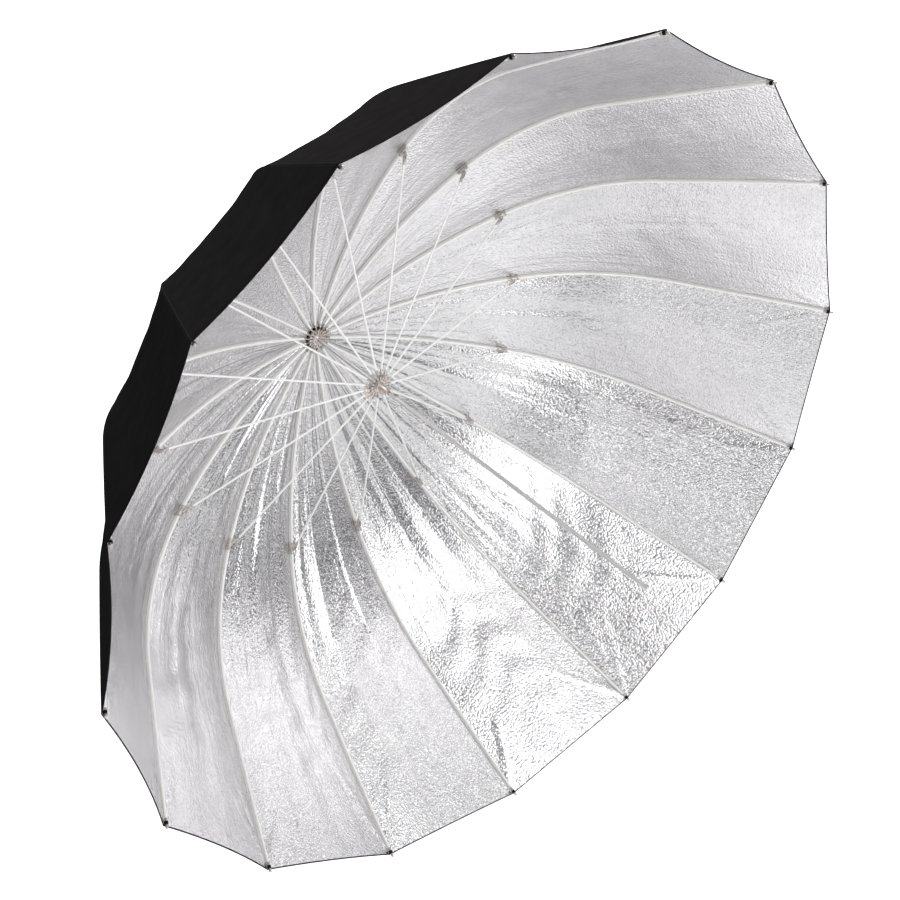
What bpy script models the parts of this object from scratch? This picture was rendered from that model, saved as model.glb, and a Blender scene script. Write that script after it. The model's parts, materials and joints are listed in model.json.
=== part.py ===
"""Deep sixteen-rib umbrella reflector, open, with its shaft level.

The shaft lies along Y and the canopy's mouth faces -Y. The origin is the place on the shaft
that a stand's bracket grips. Ribs hinge on a wire ring in the crown hub, stretchers hinge on
the ribs' clips and on a second wire ring in the runner, which slides along the shaft.
"""
import math

import bmesh
import bpy
from mathutils import Euler, Matrix, Vector

# Driving dimensions, in metres.
RIB_COUNT = 16
FIRST_RIB_ANGLE = math.radians(1.8)  # of rib 1 about the shaft, from +X towards +Z
CROWN_Y = 0.614                      # plane of the rib pivots
SHAFT_FRONT_Y = -0.314
PIVOT_RADIUS = 0.017                 # of both wire rings
GAP = 0.0003                         # between pieces that touch

# A rib is three arcs: its slope away from the crown's plane at each distance along it.
RIB_STATIONS = (0.0, 0.4244, 0.7504, 1.0815)
RIB_SLOPES = tuple(math.radians(angle) for angle in (0.0, 26.0, 60.0, 61.0))
CLIP_AT = RIB_STATIONS[1]
RIB_LENGTH = RIB_STATIONS[3]
CLIP_OFFSET = 0.0065                 # rib's centre line to the clip's pivot
SPANS = (4, 4, 2)                     # straight stretches that stand for each arc

THICK_ROD_RADIUS = 0.0026
THIN_ROD_RADIUS = 0.0020
STRETCHER_ROD_RADIUS = 0.0020
FERRULE_RADIUS = 0.0031
SLEEVE_RADIUS = 0.0034
SLEEVE_LENGTH = 0.024
EYE_RADIUS = 0.0030
EYE_HOLE_RADIUS = 0.0012
BLADE_THICKNESS = 0.0016
LUG_THICKNESS = 0.0020
FORK_LENGTH = 0.013
FORK_THICKNESS = 0.0048
FORK_SLOT = 0.0028
FORK_SLOT_DEPTH = 0.0075
FORK_HALF_HEIGHT = 0.0026
FORK_FERRULE = (0.0105, 0.020)       # from the clip's pivot
FORK_FERRULE_RADIUS = 0.0028
STRETCHER_FERRULE_RADIUS = 0.0027
RIVET_RADIUS = 0.0008
RIVET_INSET = 0.0004                 # below the fork's faces
BLADE_END = 0.010                    # from the ring's wire into the ferrule
FERRULE_START = 0.007
FERRULE_END = 0.0155
ROD_INSET = 0.004                    # of a rod's end in its ferrule
TIP_RADIUS = 0.0027
TIP_LENGTH = 0.020

CANOPY_THICKNESS = 0.0008
CANOPY_OFFSET = 0.0050               # rib's centre line to the canopy's inner face
CANOPY_START = 0.006
HEM_FROM_TIP = 0.012
GORE_SAG = 0.03                      # of the chord between two ribs
PANEL_COLUMNS = 4

TUBE_RADIUS = 0.0040
TUBE_BORE = 0.0031
SHAFT_BORE = 0.00435                 # in the pieces that sit on the tube
HUB_RADIUS = 0.0195
HUB_HALF_HEIGHT = 0.005
HUB_SLOT_START = 0.012
HUB_SLOT_WIDTH = 0.0024
WIRE_RADIUS = 0.00065
WIRE_CHANNEL_HALF = 0.0010
SLEEVE_OUTER = 0.0068                # of the runner's grip sleeve
RUNNER_SLEEVE_END = 0.035            # in front of the stretcher pivots' plane
RUNNER_NECK_RADIUS = 0.0098
RUNNER_NECK_LENGTH = 0.003
RUNNER_LIP = 0.0015                  # the sleeve's front lip, beyond its radius
RUNNER_LIP_LENGTH = 0.0045
TUBE_PAST_CROWN = 0.021
STOP_COLLAR_RADIUS = 0.0060
STOP_COLLAR_LENGTH = 0.0055
PATCH_BORE = 0.0046
PATCH_RADIUS = 0.027
PATCH_BACK = 0.0062                  # behind the rib pivots' plane
PATCH_THICKNESS = 0.0010
CROWN_PIN_RADIUS = 0.0008
CROWN_PIN_HALF_LENGTH = 0.0105
CATCH_PIN_RADIUS = 0.0008
CATCH_PIN_HALF_LENGTH = 0.0039
CATCH_PIN_Z = -0.0006
CATCH_LENGTH = 0.030
CATCH_EYE_RADIUS = 0.0019
CATCH_TAIL_HALF = 0.0016
CATCH_TAIL_END = 0.004
CATCH_RAMP_START = 0.014
CATCH_RAMP_FOOT = 0.0024             # height above the cross pin
CATCH_TOP = 0.0069
CATCH_TOP_LENGTH = 0.003
CATCH_THICKNESS = 0.0016
CATCH_GAP = 0.0008                   # from the catch's face to the runner's sleeve
CATCH_SLOT_GAP = 0.0004
CAP_FLANGE_RADIUS = 0.0135
CAP_FLANGE_HEIGHT = 0.003
CAP_BODY_RADIUS = 0.0072
CAP_TAPER = 0.001                    # of the body's radius towards its round end
CAP_LENGTH = 0.024
CAP_BORE_DEPTH = 0.015
END_CAP_RADIUS = 0.0042
END_CAP_LENGTH = 0.0038
END_CAP_CHAMFER = 0.0006
SPIGOT_LENGTH = 0.010
SPIGOT_GAP = 0.0004

COLLECTION = bpy.data.collections.new("umbrella_reflector")
CUTTERS = bpy.data.collections.new("cutters")


def clear_scene():
    for item in list(bpy.data.objects):
        bpy.data.objects.remove(item, do_unlink=True)
    bpy.context.scene.collection.children.link(COLLECTION)
    bpy.context.scene.collection.children.link(CUTTERS)


def make_material(name, color, metallic, roughness):
    material = bpy.data.materials.new(name)
    material.use_nodes = True
    shader = material.node_tree.nodes["Principled BSDF"]
    shader.inputs["Base Color"].default_value = (*color, 1.0)
    shader.inputs["Metallic"].default_value = metallic
    shader.inputs["Roughness"].default_value = roughness
    return material


MATERIALS = {
    "shaft_steel": make_material("shaft_steel", (0.60, 0.60, 0.61), 1.0, 0.28),
    "nickel_fittings": make_material("nickel_fittings", (0.72, 0.69, 0.65), 1.0, 0.30),
    "white_rod": make_material("white_rod", (0.90, 0.90, 0.89), 0.0, 0.35),
    "silver_lining": make_material("silver_lining", (0.80, 0.80, 0.82), 0.7, 0.32),
    "black_shell": make_material("black_shell", (0.012, 0.012, 0.014), 0.0, 0.80),
    "black_plastic": make_material("black_plastic", (0.02, 0.02, 0.02), 0.0, 0.45),
}


def add_object(name, data, collection=COLLECTION):
    item = bpy.data.objects.new(name, data)
    collection.objects.link(item)
    return item


def finish(item, material):
    """Give a finished sub-part its material and smooth shading."""
    mesh = item.data
    mesh.materials.clear()
    mesh.materials.append(MATERIALS[material])
    mesh.shade_smooth()
    mesh.set_sharp_from_angle(angle=math.radians(35.0))
    return item


def as_helper(item):
    """Make an object a cutter or an addition that only a Boolean uses."""
    for collection in list(item.users_collection):
        collection.objects.unlink(item)
    CUTTERS.objects.link(item)
    item.hide_render = True
    item.display_type = "WIRE"
    return item


def combine(target, tool, operation):
    as_helper(tool)
    modifier = target.modifiers.new(tool.name, "BOOLEAN")
    modifier.object = tool
    modifier.operation = operation
    modifier.solver = "EXACT"


def baked_mesh(name, item, welded=0.0):
    """The mesh an object evaluates to, with loose caps welded when a distance is given."""
    bpy.context.view_layer.update()
    graph = bpy.context.evaluated_depsgraph_get()
    mesh = bpy.data.meshes.new_from_object(item.evaluated_get(graph))
    mesh.name = name
    if welded:
        work = bmesh.new()
        work.from_mesh(mesh)
        bmesh.ops.remove_doubles(work, verts=work.verts, dist=welded)
        bmesh.ops.recalc_face_normals(work, faces=work.faces)
        work.to_mesh(mesh)
        work.free()
    return mesh


def curve_to_solid(name, curve):
    """Turn a curve object's shape into a closed mesh object and drop the curve."""
    item = add_object(name + "_curve", curve)
    solid = add_object(name, baked_mesh(name, item, welded=1e-6))
    bpy.data.objects.remove(item)
    return solid


def rod_along(name, points, radius):
    """Six-sided rod along a list of points."""
    curve = bpy.data.curves.new(name, "CURVE")
    curve.dimensions = "3D"
    curve.bevel_depth = radius
    curve.bevel_resolution = 1
    curve.use_fill_caps = True
    spline = curve.splines.new("POLY")
    spline.points.add(len(points) - 1)
    for point, place in zip(spline.points, points):
        point.co = (*place, 1.0)
    return curve_to_solid(name, curve)


def circle_points(centre, radius, count=8, start=0.0, sweep=2 * math.pi):
    """Points on an arc; a full circle leaves out the repeated last point."""
    full = abs(sweep - 2 * math.pi) < 1e-9
    steps = count if full else count - 1
    angles = [start + sweep * index / steps for index in range(count)]
    return [
        (centre[0] + radius * math.cos(angle), centre[1] + radius * math.sin(angle))
        for angle in angles
    ]


def plate(name, outline, thickness, holes=()):
    """Flat plate in the XY plane, centred on Z, with round or other holes."""
    curve = bpy.data.curves.new(name, "CURVE")
    curve.dimensions = "2D"
    curve.fill_mode = "BOTH"
    curve.extrude = thickness / 2
    for loop in (outline, *holes):
        spline = curve.splines.new("POLY")
        spline.points.add(len(loop) - 1)
        for point, (x, y) in zip(spline.points, loop):
            point.co = (x, y, 0.0, 1.0)
        spline.use_cyclic_u = True
    return curve_to_solid(name, curve)


def eye_plate(name, length, half_height, thickness, hole_radius=EYE_HOLE_RADIUS):
    """Plate from a round eye at the origin along +X."""
    outline = circle_points((0, 0), half_height, 6, math.pi / 2, math.pi)
    outline += [(length, -half_height), (length, half_height)]
    holes = (circle_points((0, 0), hole_radius),) if hole_radius else ()
    return plate(name, outline, thickness, holes)


def cylinder_between(name, start, end, radius, sides=8):
    start = Vector(start)
    run = Vector(end) - start
    bpy.ops.mesh.primitive_cylinder_add(vertices=sides, radius=radius, depth=run.length)
    item = bpy.context.object
    item.name = name
    turn = run.to_track_quat("Z", "Y").to_matrix().to_4x4()
    item.data.transform(Matrix.Translation(start + run / 2) @ turn)
    return move_to_collection(item)


def box(name, low, high):
    bpy.ops.mesh.primitive_cube_add(size=1.0)
    item = bpy.context.object
    item.name = name
    low, high = Vector(low), Vector(high)
    size = high - low
    item.data.transform(Matrix.Translation((low + high) / 2) @ Matrix.Diagonal((*size, 1.0)))
    return move_to_collection(item)


def move_to_collection(item):
    for collection in list(item.users_collection):
        collection.objects.unlink(item)
    COLLECTION.objects.link(item)
    return item


def turned(name, outline, y, steps, closed=True):
    """Solid of revolution about the shaft; outline holds (radius, distance behind y)."""
    mesh = bpy.data.meshes.new(name)
    count = len(outline)
    edges = [(index, index + 1) for index in range(count - 1)]
    if closed:
        edges.append((count - 1, 0))
    mesh.from_pydata([(radius, 0.0, back) for radius, back in outline], edges, [])
    item = add_object(name, mesh)
    item.location = (0.0, y, 0.0)
    item.rotation_euler = (-math.pi / 2, 0.0, 0.0)
    screw = item.modifiers.new("turned", "SCREW")
    screw.axis = "Z"
    screw.steps = steps
    screw.render_steps = steps
    screw.use_merge_vertices = True
    screw.merge_threshold = 0.00001
    return item


def rib_point(distance):
    """(radius past the pivot, drop, slope) of the rib's centre line at a distance along it."""
    radius = drop = 0.0
    for index in range(len(RIB_STATIONS) - 1):
        start, end = RIB_STATIONS[index:index + 2]
        slope, last = RIB_SLOPES[index:index + 2]
        part = min(distance, end) - start
        reached = slope + (last - slope) * part / (end - start)
        arc_radius = (end - start) / (last - slope)
        radius += arc_radius * (math.sin(reached) - math.sin(slope))
        drop += arc_radius * (math.cos(slope) - math.cos(reached))
        if distance <= end:
            break
    return radius, drop, reached


def rib_place(distance, outward=0.0):
    """Point in a rib's own frame: x away from the shaft, y backwards, z around it."""
    radius, drop, slope = rib_point(distance)
    x = radius + outward * math.sin(slope)
    y = -drop + outward * math.cos(slope)
    return Vector((x, y, 0.0))


CLIP_PIVOT = rib_place(CLIP_AT, -CLIP_OFFSET)
STRETCHER_LENGTH = CLIP_PIVOT.length         # equal arms keep the runner's travel exact
RUNNER_Y = CROWN_Y + 2 * CLIP_PIVOT.y


def evenly(start, end, spans):
    return [start + (end - start) * index / spans for index in range(spans + 1)]


INNER_STATIONS = evenly(FERRULE_END - ROD_INSET, CLIP_AT, SPANS[0])
OUTER_STATIONS = evenly(CLIP_AT, RIB_STATIONS[2], SPANS[1])
OUTER_STATIONS += evenly(RIB_STATIONS[2], RIB_LENGTH - HEM_FROM_TIP, SPANS[2])[1:]


def rib_mesh():
    rib = rod_along("thick_rod", [rib_place(at) for at in INNER_STATIONS], THICK_ROD_RADIUS)
    thin = rod_along("thin_rod", [rib_place(at) for at in OUTER_STATIONS], THIN_ROD_RADIUS)
    blade = eye_plate("rib_blade", BLADE_END, EYE_RADIUS, BLADE_THICKNESS)
    ferrule = cylinder_between(
        "rib_ferrule", rib_place(FERRULE_START), rib_place(FERRULE_END), FERRULE_RADIUS, 6)
    along = Vector((math.cos(RIB_SLOPES[1]), -math.sin(RIB_SLOPES[1]), 0.0))
    middle = rib_place(CLIP_AT)
    reach = along * SLEEVE_LENGTH / 2
    sleeve = cylinder_between("clip_sleeve", middle - reach, middle + reach, SLEEVE_RADIUS, 6)
    lug = eye_plate("clip_lug", CLIP_OFFSET, EYE_RADIUS, LUG_THICKNESS)
    lug.data.transform(Matrix.Rotation(math.pi / 2 - RIB_SLOPES[1], 4, "Z"))
    lug.data.transform(Matrix.Translation(CLIP_PIVOT))
    tip = cylinder_between(
        "rib_tip", rib_place(RIB_LENGTH - TIP_LENGTH), rib_place(RIB_LENGTH), TIP_RADIUS, 6)
    for piece in (ferrule, blade, thin, sleeve, lug, tip):
        combine(rib, piece, "UNION")
    return bake_and_drop("rib", rib)


def bake_and_drop(name, item):
    """Bake an object with its Booleans and remove the objects it was made of."""
    mesh = baked_mesh(name, item)
    tools = [modifier.object for modifier in item.modifiers]
    for used in (item, *tools):
        bpy.data.objects.remove(used)
    return mesh


def stretcher_mesh():
    """Stretcher along +X from its fork's pivot at the origin to the runner's wire."""
    length = STRETCHER_LENGTH
    rod_ends = (FORK_FERRULE[1] - ROD_INSET, length - FERRULE_END + ROD_INSET)
    rod = rod_along("stretcher_rod", [(at, 0, 0) for at in rod_ends], STRETCHER_ROD_RADIUS)
    fork = eye_plate("fork", FORK_LENGTH, FORK_HALF_HEIGHT, FORK_THICKNESS, 0.0)
    half_slot = FORK_SLOT / 2
    reach = 2 * FORK_HALF_HEIGHT
    slot = box("fork_slot", (-reach, -reach, -half_slot), (FORK_SLOT_DEPTH, reach, half_slot))
    combine(fork, slot, "DIFFERENCE")
    half_rivet = FORK_THICKNESS / 2 - RIVET_INSET
    rivet = cylinder_between("rivet", (0, 0, -half_rivet), (0, 0, half_rivet), RIVET_RADIUS, 6)
    combine(fork, rivet, "UNION")
    start, end = FORK_FERRULE
    outer = cylinder_between("fork_ferrule", (start, 0, 0), (end, 0, 0), FORK_FERRULE_RADIUS, 6)
    start, end = length - FERRULE_END, length - FERRULE_START
    inner = cylinder_between(
        "blade_ferrule", (start, 0, 0), (end, 0, 0), STRETCHER_FERRULE_RADIUS, 6)
    blade = eye_plate("stretcher_blade", BLADE_END, EYE_RADIUS, BLADE_THICKNESS)
    blade.data.transform(Matrix.Rotation(math.pi, 4, "Z"))
    blade.data.transform(Matrix.Translation((length, 0, 0)))
    for piece in (outer, rod, inner, blade):
        combine(fork, piece, "UNION")
    return bake_and_drop("stretcher", fork)


def panel_mesh():
    """Inner face of the canopy around one rib, from gore middle to gore middle."""
    stations = [CANOPY_START] + INNER_STATIONS + OUTER_STATIONS[1:]
    step = 2 * math.pi / RIB_COUNT
    work = bmesh.new()
    rows = []
    for distance in stations:
        base = rib_place(distance, CANOPY_OFFSET)
        slope = rib_point(distance)[2]
        radius = PIVOT_RADIUS + base.x
        chord = 2 * radius * math.sin(step / 2)
        row = []
        for column in range(PANEL_COLUMNS + 1):
            across = 2 * column / PANEL_COLUMNS - 1
            side = math.copysign(1.0, across)
            share = abs(across) * (0.5 - GAP / chord)
            sag = GORE_SAG * chord * 4 * share * (1 - share)
            radial = radius * (1 - share + share * math.cos(step))
            around = radius * share * math.sin(step)
            inward = sag * math.sin(slope)
            x = radial - inward * math.cos(step / 2) - PIVOT_RADIUS
            z = side * (around - inward * math.sin(step / 2))
            row.append(work.verts.new((x, base.y - sag * math.cos(slope), z)))
        rows.append(row)
    for upper, lower in zip(rows, rows[1:]):
        for column in range(PANEL_COLUMNS):
            corners = (upper[column], upper[column + 1], lower[column + 1], lower[column])
            work.faces.new(corners)
    mesh = bpy.data.meshes.new("canopy_panel")
    work.to_mesh(mesh)
    work.free()
    return mesh


def add_panel(name, mesh):
    panel = add_object(name, mesh)
    solidify = panel.modifiers.new("thickness", "SOLIDIFY")
    solidify.thickness = CANOPY_THICKNESS
    solidify.offset = 1.0
    solidify.use_even_offset = True
    return panel


def add_frame(name, location, angle):
    """Empty whose X axis points away from the shaft at an angle about it."""
    frame = add_object(name, None)
    frame.location = location
    frame.rotation_euler = (0.0, -angle, 0.0)
    return frame


def add_ribs_stretchers_and_canopy():
    rib = rib_mesh()
    stretcher = stretcher_mesh()
    panel = panel_mesh()
    lean = math.atan2(CLIP_PIVOT.y, -CLIP_PIVOT.x)
    for index in range(RIB_COUNT):
        label = f"{index + 1:02d}"
        angle = FIRST_RIB_ANGLE + 2 * math.pi * index / RIB_COUNT
        away = Vector((math.cos(angle), 0.0, math.sin(angle)))
        crown = away * PIVOT_RADIUS + Vector((0.0, CROWN_Y, 0.0))
        rib_frame = add_frame("rib_frame_" + label, crown, angle)
        clip = crown + away * CLIP_PIVOT.x + Vector((0.0, CLIP_PIVOT.y, 0.0))
        clip_frame = add_frame("clip_frame_" + label, clip, angle)
        rib_item = add_object("rib_" + label, rib)
        rib_item.parent = rib_frame
        panel_item = add_panel("canopy_panel_" + label, panel)
        panel_item.parent = rib_frame
        stretcher_item = add_object("stretcher_" + label, stretcher)
        stretcher_item.parent = clip_frame
        stretcher_item.rotation_euler = (0.0, 0.0, lean)
    finish(rib_item, "white_rod")
    finish(stretcher_item, "white_rod")
    finish(panel_item, "silver_lining")


def hub_slots(name, y):
    """Sixteen radial slots around the shaft, as one cutter."""
    work = bmesh.new()
    depth = HUB_RADIUS + HUB_HALF_HEIGHT - HUB_SLOT_START
    size = Matrix.Diagonal((depth, 4 * HUB_HALF_HEIGHT, HUB_SLOT_WIDTH, 1.0))
    place = Matrix.Translation((HUB_SLOT_START + depth / 2, y, 0.0))
    for index in range(RIB_COUNT):
        angle = FIRST_RIB_ANGLE + 2 * math.pi * index / RIB_COUNT
        turn = Euler((0.0, -angle, 0.0)).to_matrix().to_4x4()
        bmesh.ops.create_cube(work, size=1.0, matrix=turn @ place @ size)
    mesh = bpy.data.meshes.new(name)
    work.to_mesh(mesh)
    work.free()
    return add_object(name, mesh)


def wire_channel(side):
    """Outline points of the hub's rim with the wire's channel open on one face."""
    inner = PIVOT_RADIUS - WIRE_CHANNEL_HALF
    outer = PIVOT_RADIUS + WIRE_CHANNEL_HALF
    face = side * HUB_HALF_HEIGHT
    floor = -side * WIRE_CHANNEL_HALF
    points = [(outer, face), (outer, floor), (inner, floor), (inner, face)]
    return points if side > 0 else points[::-1]


def add_crown_hub():
    half = HUB_HALF_HEIGHT
    outline = [(HUB_RADIUS, half), (HUB_RADIUS, -half), (SHAFT_BORE, -half), (SHAFT_BORE, half)]
    outline += wire_channel(1)[::-1]
    hub = turned("crown_hub", outline, CROWN_Y, 24)
    combine(hub, hub_slots("crown_slots", CROWN_Y), "DIFFERENCE")
    reach = CROWN_PIN_HALF_LENGTH + 2 * EYE_HOLE_RADIUS
    hole = cylinder_between(
        "crown_pin_hole", (-reach, CROWN_Y, 0), (reach, CROWN_Y, 0), CROWN_PIN_RADIUS + GAP)
    combine(hub, hole, "DIFFERENCE")
    return finish(hub, "nickel_fittings")


def add_runner_hub():
    half = HUB_HALF_HEIGHT
    front = -RUNNER_SLEEVE_END
    outline = [(HUB_RADIUS, half), (HUB_RADIUS, -half)]
    outline += wire_channel(-1)[::-1]
    neck, neck_end = RUNNER_NECK_RADIUS, -half - RUNNER_NECK_LENGTH
    lip, lip_end = SLEEVE_OUTER + RUNNER_LIP, front + RUNNER_LIP_LENGTH
    outline += [
        (neck, -half), (neck, neck_end), (SLEEVE_OUTER, neck_end - neck + SLEEVE_OUTER),
        (SLEEVE_OUTER, lip_end + RUNNER_LIP), (lip, lip_end), (lip, front),
        (SHAFT_BORE, front), (SHAFT_BORE, half)]
    hub = turned("runner_hub", outline, RUNNER_Y, 24)
    combine(hub, hub_slots("runner_slots", RUNNER_Y), "DIFFERENCE")
    return finish(hub, "nickel_fittings")


def add_wire_ring(name, y):
    bpy.ops.mesh.primitive_torus_add(
        major_segments=24, minor_segments=6, major_radius=PIVOT_RADIUS,
        minor_radius=WIRE_RADIUS, location=(0.0, y, 0.0), rotation=(-math.pi / 2, 0.0, 0.0))
    ring = move_to_collection(bpy.context.object)
    ring.name = name
    return finish(ring, "shaft_steel")


def add_shaft(catch_y):
    back = CROWN_Y + TUBE_PAST_CROWN
    outline = [
        (TUBE_RADIUS, back), (TUBE_RADIUS, SHAFT_FRONT_Y),
        (TUBE_BORE, SHAFT_FRONT_Y), (TUBE_BORE, back)]
    tube = turned("shaft_tube", outline, 0.0, 16)
    slot_half = CATCH_THICKNESS / 2 + CATCH_SLOT_GAP
    slot_start = catch_y + CATCH_RAMP_START - CATCH_TAIL_END
    slot_end = catch_y + CATCH_LENGTH + 4 * CATCH_SLOT_GAP
    slot = box(
        "catch_slot", (-slot_half, slot_start, 0.0), (slot_half, slot_end, 2 * TUBE_RADIUS))
    reach = 2 * TUBE_RADIUS
    crown_hole = cylinder_between(
        "tube_crown_hole", (-reach, CROWN_Y, 0), (reach, CROWN_Y, 0), CROWN_PIN_RADIUS + GAP)
    catch_hole = cylinder_between(
        "tube_catch_hole", (-reach, catch_y, CATCH_PIN_Z), (reach, catch_y, CATCH_PIN_Z),
        CATCH_PIN_RADIUS + GAP)
    for cutter in (slot, crown_hole, catch_hole):
        combine(tube, cutter, "DIFFERENCE")
    return finish(tube, "shaft_steel")


def add_catch(catch_y):
    """Spring catch: a tail on a cross pin, and a ramp that stands out of the tube's slot."""
    length, tail = CATCH_LENGTH, CATCH_TAIL_HALF
    outline = circle_points((0, 0), CATCH_EYE_RADIUS, 6, math.pi / 2, math.pi)
    outline += [(CATCH_TAIL_END, -tail), (length, tail / 4), (length, CATCH_TOP)]
    outline += [(length - CATCH_TOP_LENGTH, CATCH_TOP - GAP)]
    outline += [(CATCH_RAMP_START, CATCH_RAMP_FOOT), (CATCH_TAIL_END, tail)]
    hole = circle_points((0, 0), CATCH_PIN_RADIUS + GAP)
    catch = plate("catch", outline, CATCH_THICKNESS, (hole,))
    turn = Euler((math.pi / 2, 0.0, math.pi / 2)).to_matrix().to_4x4()
    catch.data.transform(turn)
    catch.location = (0.0, catch_y, CATCH_PIN_Z)
    finish(catch, "nickel_fittings")
    reach = CATCH_PIN_HALF_LENGTH
    pin = cylinder_between("catch_pin", (-reach, 0, 0), (reach, 0, 0), CATCH_PIN_RADIUS)
    pin.location = (0.0, catch_y, CATCH_PIN_Z)
    finish(pin, "shaft_steel")


def add_crown_pin():
    reach = CROWN_PIN_HALF_LENGTH
    pin = cylinder_between("crown_pin", (-reach, 0, 0), (reach, 0, 0), CROWN_PIN_RADIUS)
    pin.location = (0.0, CROWN_Y, 0.0)
    finish(pin, "shaft_steel")


def add_crown_patch():
    outline = [
        (PATCH_RADIUS, PATCH_THICKNESS), (PATCH_RADIUS, 0.0),
        (PATCH_BORE, 0.0), (PATCH_BORE, PATCH_THICKNESS)]
    patch = turned("crown_patch", outline, CROWN_Y + PATCH_BACK, 24)
    finish(patch, "black_shell")


def add_rear_cap():
    """Flanged cap with a tapered body and a round end, over the back end of the tube."""
    neck = CAP_BODY_RADIUS - CAP_TAPER
    shoulder = CAP_LENGTH - neck
    outline = circle_points((0.0, shoulder), neck, 5, math.pi / 2, -math.pi / 2)
    outline[0] = (0.0, CAP_LENGTH)
    outline += [
        (CAP_BODY_RADIUS, 2 * CAP_FLANGE_HEIGHT), (CAP_FLANGE_RADIUS - CAP_TAPER, CAP_FLANGE_HEIGHT),
        (CAP_FLANGE_RADIUS, CAP_FLANGE_HEIGHT / 2), (CAP_FLANGE_RADIUS, 0.0), (SHAFT_BORE, 0.0),
        (SHAFT_BORE, CAP_BORE_DEPTH), (0.0, CAP_BORE_DEPTH)]
    seat = CROWN_Y + PATCH_BACK + PATCH_THICKNESS + GAP
    cap = turned("rear_cap", outline, seat, 20, closed=False)
    finish(cap, "black_plastic")


def add_runner_stop():
    outline = [
        (STOP_COLLAR_RADIUS, STOP_COLLAR_LENGTH), (STOP_COLLAR_RADIUS, 0.0),
        (SHAFT_BORE, 0.0), (SHAFT_BORE, STOP_COLLAR_LENGTH)]
    stop = turned("runner_stop", outline, RUNNER_Y + HUB_HALF_HEIGHT + 2 * GAP, 16)
    finish(stop, "nickel_fittings")


def add_end_cap():
    """Plug that closes the front end of the tube, with its spigot in the bore."""
    spigot = TUBE_BORE - SPIGOT_GAP
    rim, chamfer = END_CAP_RADIUS, END_CAP_CHAMFER
    outline = [
        (0.0, SPIGOT_LENGTH), (spigot, SPIGOT_LENGTH), (spigot, 0.0), (rim, 0.0),
        (rim, chamfer - END_CAP_LENGTH), (rim - chamfer, -END_CAP_LENGTH), (0.0, -END_CAP_LENGTH)]
    cap = turned("end_cap", outline, SHAFT_FRONT_Y - GAP, 16, closed=False)
    finish(cap, "shaft_steel")


def main():
    clear_scene()
    catch_y = RUNNER_Y - RUNNER_SLEEVE_END - CATCH_GAP - CATCH_LENGTH
    add_ribs_stretchers_and_canopy()
    add_crown_hub()
    add_runner_hub()
    add_wire_ring("crown_wire", CROWN_Y)
    add_wire_ring("runner_wire", RUNNER_Y)
    add_shaft(catch_y)
    add_catch(catch_y)
    add_crown_pin()
    add_crown_patch()
    add_rear_cap()
    add_runner_stop()
    add_end_cap()


main()
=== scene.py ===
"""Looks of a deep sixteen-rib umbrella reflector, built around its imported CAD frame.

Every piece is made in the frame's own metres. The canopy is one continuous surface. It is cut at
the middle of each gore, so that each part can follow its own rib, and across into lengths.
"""
import json
import math
import random

import bmesh
import bpy
import numpy as np
from mathutils import Matrix, Vector


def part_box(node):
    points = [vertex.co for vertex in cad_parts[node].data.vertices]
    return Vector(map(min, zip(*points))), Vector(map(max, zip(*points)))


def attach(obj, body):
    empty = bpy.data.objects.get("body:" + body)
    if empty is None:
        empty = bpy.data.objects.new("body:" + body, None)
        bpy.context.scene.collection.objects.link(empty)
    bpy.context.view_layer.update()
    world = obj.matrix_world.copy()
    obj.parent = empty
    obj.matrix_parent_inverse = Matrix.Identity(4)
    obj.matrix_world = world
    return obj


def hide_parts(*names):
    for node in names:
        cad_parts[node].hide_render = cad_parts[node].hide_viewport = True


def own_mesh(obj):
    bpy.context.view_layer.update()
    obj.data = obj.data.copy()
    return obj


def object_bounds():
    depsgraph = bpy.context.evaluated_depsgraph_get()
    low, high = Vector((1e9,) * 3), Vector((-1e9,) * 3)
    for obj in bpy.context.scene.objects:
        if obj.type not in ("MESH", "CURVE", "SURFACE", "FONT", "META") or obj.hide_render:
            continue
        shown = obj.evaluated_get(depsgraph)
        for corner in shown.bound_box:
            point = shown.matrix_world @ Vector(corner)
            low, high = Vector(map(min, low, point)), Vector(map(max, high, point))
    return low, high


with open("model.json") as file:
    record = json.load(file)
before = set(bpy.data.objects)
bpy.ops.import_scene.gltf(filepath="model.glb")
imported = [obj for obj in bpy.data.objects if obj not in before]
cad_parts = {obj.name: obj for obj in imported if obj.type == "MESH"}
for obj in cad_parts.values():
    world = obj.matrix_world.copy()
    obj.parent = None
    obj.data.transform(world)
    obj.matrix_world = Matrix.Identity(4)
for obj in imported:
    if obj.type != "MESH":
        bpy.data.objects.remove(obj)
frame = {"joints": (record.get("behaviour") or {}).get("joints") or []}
CAD_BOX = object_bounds()

# The frame's own places.
JOINTS = {joint["name"]: joint for joint in frame["joints"]}
RIB_COUNT = sum(name.endswith("_fold") for name in JOINTS)
STEP = 2 * math.pi / RIB_COUNT       # between two ribs
LABELS = [f"{index + 1:02d}" for index in range(RIB_COUNT)]
CROWN = [Vector(JOINTS[f"rib_{label}_fold"]["pos_m"]) for label in LABELS]
CLIPS = [Vector(JOINTS[f"stretcher_{label}_swing"]["pos_m"]) for label in LABELS]
RUNNER_PIVOT = Vector(JOINTS["runner_on_stretcher"]["pos_m"])
FIRST_ANGLE = math.atan2(CROWN[0].z, CROWN[0].x)
CROWN_Y = CROWN[0].y
PIVOT_RADIUS = math.hypot(CROWN[0].x, CROWN[0].z)
RUNNER_Y = RUNNER_PIVOT.y
FOLD_RANGE = math.radians(JOINTS["rib_01_fold"]["range_deg"][1])

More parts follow.
